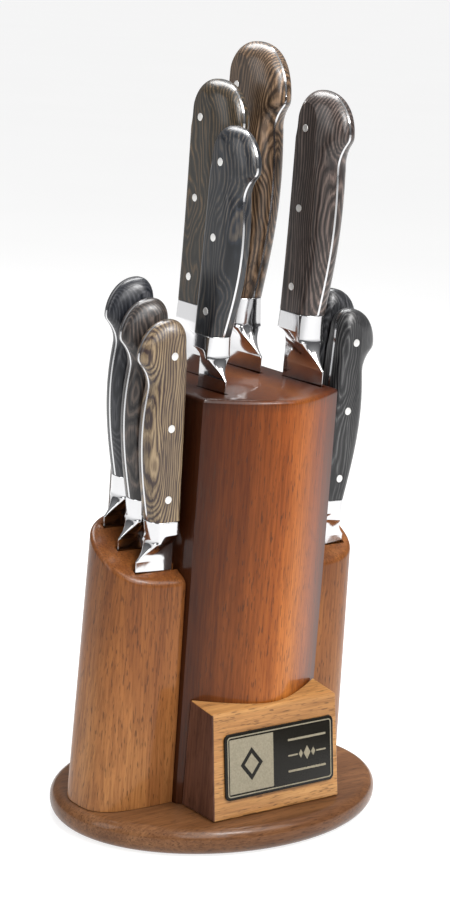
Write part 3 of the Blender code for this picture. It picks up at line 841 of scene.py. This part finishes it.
def flat_outline(size):
    """Outline of the flat side, inside the roundings, with an arch below the butt."""
    top = size.length - BUTT_ROUND
    squeeze = (top - size.waist_at) / (size.length - size.waist_at)
    wide = FLAT_SHARE * size.waist
    crown = SPINE_ROUND + ARCH_CROWN * (wide - SPINE_ROUND)
    levels = [min(s, size.waist_at) + max(0, s - size.waist_at) * squeeze
              for s in handle_levels(size)]

    def arch(side, s):
        start = top - ARCH_REACH * abs(side - crown)
        share = max(0, (s - start) / (top - start))
        return crown + (side - crown) * math.sqrt(max(0, 1 - share ** 2))

    def edge(s):
        return arch(FLAT_SHARE * edge_side(size, min(s, size.waist_at)), s)

    return round_the_loop(lambda s: arch(SPINE_ROUND, s), edge, levels)


def butt_crease(size, s, on_spine):
    """Angle at which the rounding leaves the flat side; it grows over the butt."""
    start = size.hook_at if on_spine else size.waist_at
    return BUTT_CREASE * min(1, max(0, (s - start) / (BUTT_CREASE_RUN * size.length)))


def drawn_in(start, end):
    """A point just inside start, on the line to end."""
    return start.lerp(end, FLAT_MARGIN / (end - start).length)


def scale_ring(size, side, outlines, k):
    """Points of ring k of a scale: ring 0 bounds the flat side, the last lies at the tang."""
    apex = len(outlines[0]) // 2
    ring = []
    for i, ((w, s), (flat_w, flat_s)) in enumerate(zip(*outlines)):
        crease = butt_crease(size, s, i < apex)
        turn = crease + (math.pi / 2 - crease) * k / SCALE_STEPS
        squareness = EDGE_SQUARENESS
        if i < apex:
            from_top = (size.length - s) / (size.length - size.hook_at)
            squareness += SPINE_EXTRA_SQUARENESS * min(1, from_top)
        start = math.sin(crease) ** (2 / squareness)
        out = (math.sin(turn) ** (2 / squareness) - start) / (1 - start)
        rise = 0
        if k < SCALE_STEPS:
            rise = (math.cos(turn) / math.cos(crease)) ** (2 / squareness)
        x = flat_w + (w - flat_w) * out
        z = flat_s + (s - flat_s) * out
        y = SCALE_INNER + (flat_half(size, flat_s) - SCALE_INNER) * rise
        ring.append((x + HANDLE_DROOP * z, side * y, z))
    return ring


def flat_ring(arch):
    """Points just inside the arch that bounds the flat side."""
    apex = len(arch) // 2
    across = list(zip(arch, arch[:apex:-1]))
    inside = [drawn_in(spine, edge) for spine, edge in across]
    inside.append(arch[apex] - Vector((0, 0, FLAT_MARGIN)))
    return inside + [drawn_in(edge, spine) for spine, edge in across[::-1]]


def close_scale(shape, rings):
    """Faces between a scale's rings and over its flat side, its foot and its back."""
    flat = rings[0]
    apex = len(flat) // 2
    for near, far in zip(rings, rings[1:]):
        for i in range(len(flat) - 1):
            shape.faces.new((near[i], near[i + 1], far[i + 1], far[i]))
    for i in range(apex - 1):
        shape.faces.new((flat[i], flat[-1 - i], flat[-2 - i], flat[i + 1]))
    shape.faces.new((flat[apex - 1], flat[apex + 1], flat[apex]))
    shape.faces.new([ring[0] for ring in rings] + [ring[-1] for ring in rings[::-1]])
    shape.faces.new(rings[-1])


def crease_butt(shape, rings):
    """Sharp edges where the dome leaves the flat side, and across the rounding at the hook."""
    arch = rings[1]
    hook = RISE_STEPS + HOOK_STEPS
    creases = list(zip(arch[hook:-hook - 1], arch[hook + 1:-hook]))
    creases += [(near[-1 - hook], far[-1 - hook]) for near, far in zip(rings[1:], rings[2:])]
    for ends in creases:
        shape.edges.get(ends).smooth = False


def handle_scale(size, side):
    """One wooden scale: a flat side, rounded all round, with a domed butt."""
    outlines = (handle_outline(size), flat_outline(size))
    shape = bmesh.new()
    rings = [[shape.verts.new(point) for point in scale_ring(size, side, outlines, k)]
             for k in range(SCALE_STEPS + 1)]
    inside = flat_ring([vert.co for vert in rings[0]])
    rings.insert(0, [shape.verts.new(point) for point in inside])
    close_scale(shape, rings)
    crease_butt(shape, rings)
    return shape


def steel_section(s, spine, edge, halves, rounds):
    """Section of the steel; halves and rounds are at the spine and at the edge."""
    turns = [math.pi / 2 * i / CORNER_STEPS for i in range(CORNER_STEPS + 1)]

    def corner(turn, squareness):
        rise = 0
        if turn < turns[-1]:
            rise = math.cos(turn) ** (2 / squareness)
        return 1 - math.sin(turn) ** (2 / squareness), rise

    upper = []
    for turn in turns[::-1]:
        inset, rise = corner(turn, EDGE_SQUARENESS + SPINE_EXTRA_SQUARENESS)
        upper.append((spine + rounds[0] * inset, halves[0] * rise))
    for share in (0.25, 0.5, 0.75):
        upper.append((spine + rounds[0] + (edge - rounds[1] - spine - rounds[0]) * share,
                      halves[0] + (halves[1] - halves[0]) * share))
    for turn in turns:
        inset, rise = corner(turn, EDGE_SQUARENESS)
        upper.append((edge - rounds[1] * inset, halves[1] * rise))
    lower = [(w, -t) for w, t in upper[-2:0:-1]]
    return [(w, t, s) for w, t in upper + lower]


def bolster_sections(size):
    """The bolster: as thick as the handle, then hollowed down to the blade and its heel."""
    def fall(share, target):
        drop = max(0, (share - BOLSTER_THICK_SHARE) / (1 - BOLSTER_THICK_SHARE))
        return target + (size.foot_half - target) * max(0, 1 - drop) ** BOLSTER_HOLLOW

    belly_round = (1 - FLAT_SHARE) * size.foot
    rim = BOLSTER_RIM
    last_spine, last_edge = BOLSTER_LAST_ROUNDS
    sections = [steel_section(0, rim, size.foot - rim, [size.foot_half - rim] * 2,
                              (SPINE_ROUND, belly_round))]
    for i in range(BOLSTER_STEPS + 1):
        share = i / BOLSTER_STEPS
        s = -rim - share * (size.heel_drop - rim)
        sweep = max(0, (share - BOLSTER_SWEEP_AT) / (1 - BOLSTER_SWEEP_AT)) ** BOLSTER_HOLLOW
        edge = size.foot - BOLSTER_NARROWING * min(1, share / BOLSTER_SWEEP_AT)
        edge += (size.heel - edge) * sweep
        along = min(1, -s / size.bolster)
        halves = (fall(along, BLADE_HALF), fall(share, HEEL_HALF))
        rounds = (last_spine + (SPINE_ROUND - last_spine) * (1 - along),
                  last_edge + (belly_round - last_edge) * (1 - share) ** 1.3)
        sections.append(steel_section(s, 0, edge, halves, rounds))
    return sections


def blade_sections(size, blade):
    """The blade below its heel, with the edge rising to the tip."""
    rise, power = TIP_RISE
    sections = []
    for share in [BLADE_FIRST_SHARE] + [i / BLADE_STEPS for i in range(1, BLADE_STEPS + 1)]:
        edge = size.heel * (1 - rise * share ** power)
        halves = (BLADE_HALF * (1 - SPINE_TAPER * share), EDGE_HALF)
        round_off = min(0.3 * MM, 0.2 * edge)
        sections.append(steel_section(-size.heel_drop - share * blade, 0, edge, halves,
                                      (round_off, round_off)))
    return sections


def knife_steel(size, blade):
    """Blade and bolster in one skin, and the full tang."""
    shape = bmesh.new()
    add_loft(shape, bolster_sections(size) + blade_sections(size, blade))
    outline = [(w + HANDLE_DROOP * s, s) for w, s in handle_outline(size)]
    add_loft(shape, [[(x, y, z) for x, z in outline] for y in (-TANG_HALF, TANG_HALF)])
    return shape


def knife_rivet(size, s):
    """One rivet through both scales, with slightly domed heads."""
    x = size.rivet_from_spine + HANDLE_DROOP * s
    half = flat_half(size, s)
    rims = [(radius, -half - rise) for radius, rise in RIVET_HEAD]
    rims += [(radius, half + rise) for radius, rise in RIVET_HEAD[::-1]]
    turns = [2 * math.pi * i / RIVET_SIDES for i in range(RIVET_SIDES)]
    shape = bmesh.new()
    add_loft(shape, [[(x + radius * math.cos(turn), y, s + radius * math.sin(turn))
                      for turn in turns] for radius, y in rims])
    return shape


def knife(name, place, materials):
    """All pieces of one knife, riding on its body."""
    size, _, blade, tones, turn = KNIVES[name]
    wood = handle_wood(name + "_wood", tones, turn)
    pieces = [("forging", knife_steel(size, blade), materials["steel"], "blade",
               "polished_steel", 60)]
    for label, side in (("a", 1), ("b", -1)):
        pieces.append(("grip_" + label, handle_scale(size, side), wood, "scale_" + label,
                       "handle_wood", 40))
    for number, s in enumerate(size.rivets, 1):
        pieces.append(("pin_%d" % number, knife_rivet(size, s), materials["rivet"],
                       "rivet_%d" % number, "rivet_steel", 40))
    for label, shape, material, node, slot, sharp in pieces:
        made = mesh_object(name + "_" + label, shape, [material], sharp)
        made.matrix_world = place
        settle(made, name, [name + "_" + node], slot)


# ---- studio ----
def make_camera():
    """The camera, at the viewing angle of the reference view."""
    azimuth, pitch = math.radians(CAMERA_AZIMUTH), math.radians(CAMERA_PITCH)
    heading, roll = azimuth + math.radians(CAMERA_YAW), math.radians(CAMERA_ROLL)
    place = Vector((CAMERA_DISTANCE * math.sin(azimuth), -CAMERA_DISTANCE * math.cos(azimuth),
                    CAMERA_HEIGHT))
    ahead = Vector((-math.sin(heading) * math.cos(pitch), math.cos(heading) * math.cos(pitch),
                    -math.sin(pitch)))
    level = Vector((math.cos(heading), math.sin(heading), 0))
    above = level.cross(ahead)
    right = math.cos(roll) * level - math.sin(roll) * above
    up = math.sin(roll) * level + math.cos(roll) * above
    lens = bpy.data.cameras.new("camera")
    lens.lens = CAMERA_LENS
    lens.sensor_width = 36
    lens.clip_start = 0.01
    camera = bpy.data.objects.new("camera", lens)
    bpy.context.scene.collection.objects.link(camera)
    camera.matrix_world = (Matrix.Translation(place)
                           @ Matrix((right, up, -ahead)).transposed().to_4x4())
    bpy.context.scene.camera = camera


def make_floor():
    """A wide pale floor that isn't part of the object."""
    shape = bmesh.new()
    bmesh.ops.create_grid(shape, x_segments=8, y_segments=8, size=FLOOR_HALF_SIZE)
    paint = Paint("floor", shine=0.1)
    paint.shader.inputs["Roughness"].default_value = 0.8
    tint = paint.noise(paint.stretch((3, 3, 3)), 2.0)
    paint.colour(paint.ramp(tint, ((0.3, (0.3, 0.3, 0.3)), (0.7, (0.32, 0.32, 0.32)))))
    paint.shader.inputs["Emission Color"].default_value = (1, 1, 1, 1)
    paint.shader.inputs["Emission Strength"].default_value = FLOOR_GLOW
    floor = mesh_object("floor", shape, [paint.material])
    floor.location.z = -FLOOR_DROP


def area_light(name, azimuth, elevation, distance, size, power, colour):
    """A soft rectangular light that looks at the block; azimuth 0 is in front of it."""
    turn, rise = math.radians(azimuth), math.radians(elevation)
    target = Vector((0, 0, LIGHT_TARGET_Z))
    away = Vector((math.sin(turn) * math.cos(rise), -math.cos(turn) * math.cos(rise),
                   math.sin(rise)))
    light = bpy.data.lights.new(name, "AREA")
    light.shape = "RECTANGLE"
    light.size, light.size_y = size
    light.energy = power
    light.color = colour
    lamp = bpy.data.objects.new(name, light)
    bpy.context.scene.collection.objects.link(lamp)
    lamp.location = target + away * distance
    lamp.rotation_mode = "QUATERNION"
    lamp.rotation_quaternion = away.to_track_quat("Z", "Y")


def make_world():
    """A pale surround that is dimmer for the object's reflections than for the camera."""
    world = bpy.data.worlds.new("studio")
    world.use_nodes = True
    bpy.context.scene.world = world
    tree = world.node_tree
    shown = tree.nodes["Background"]
    shown.inputs["Color"].default_value = (SURROUND_TONE, SURROUND_TONE, SURROUND_TONE, 1)
    dim = tree.nodes.new("ShaderNodeBackground")
    dim.inputs["Strength"].default_value = SURROUND_STRENGTH
    place = tree.nodes.new("ShaderNodeTexCoord")
    split = tree.nodes.new("ShaderNodeSeparateXYZ")
    ramp = tree.nodes.new("ShaderNodeValToRGB")
    tree.links.new(place.outputs["Generated"], split.inputs[0])
    tree.links.new(split.outputs["Z"], ramp.inputs["Fac"])
    tree.links.new(ramp.outputs["Color"], dim.inputs["Color"])
    stops = ramp.color_ramp.elements
    for stop, position, colour in zip(stops, (0.05, 0.8), ((0.2, 0.2, 0.21, 1), (1, 1, 1, 1))):
        stop.position = position
        stop.color = colour
    path = tree.nodes.new("ShaderNodeLightPath")
    mix = tree.nodes.new("ShaderNodeMixShader")
    tree.links.new(path.outputs["Is Camera Ray"], mix.inputs[0])
    tree.links.new(dim.outputs[0], mix.inputs[1])
    tree.links.new(shown.outputs[0], mix.inputs[2])
    tree.links.new(mix.outputs[0], tree.nodes["World Output"].inputs["Surface"])


def make_studio():
    """Camera, floor, soft lights and surround."""
    make_camera()
    make_floor()
    for name, light in LIGHTS.items():
        area_light(name, *light)
    make_world()
    bpy.context.scene.view_settings.view_transform = "Standard"


# ---- everything ----
def build():
    """Make every piece of the knife block."""
    materials = make_materials()
    places = {name: knife_place(name) for name in KNIVES}
    base_plate(materials)
    centre_column(materials, places)
    side_pillar("low_pillar_left", "left_pillar", -1, (LEFT_PILLAR_FOOT, LEFT_PILLAR_TOP),
                materials, places)
    side_pillar("low_pillar_right", "right_pillar", 1, (RIGHT_PILLAR_FOOT, RIGHT_PILLAR_TOP),
                materials, places)
    sign_block(materials)
    name_plate(materials)
    for name, place in places.items():
        knife(name, place, materials)


make_studio()
build()
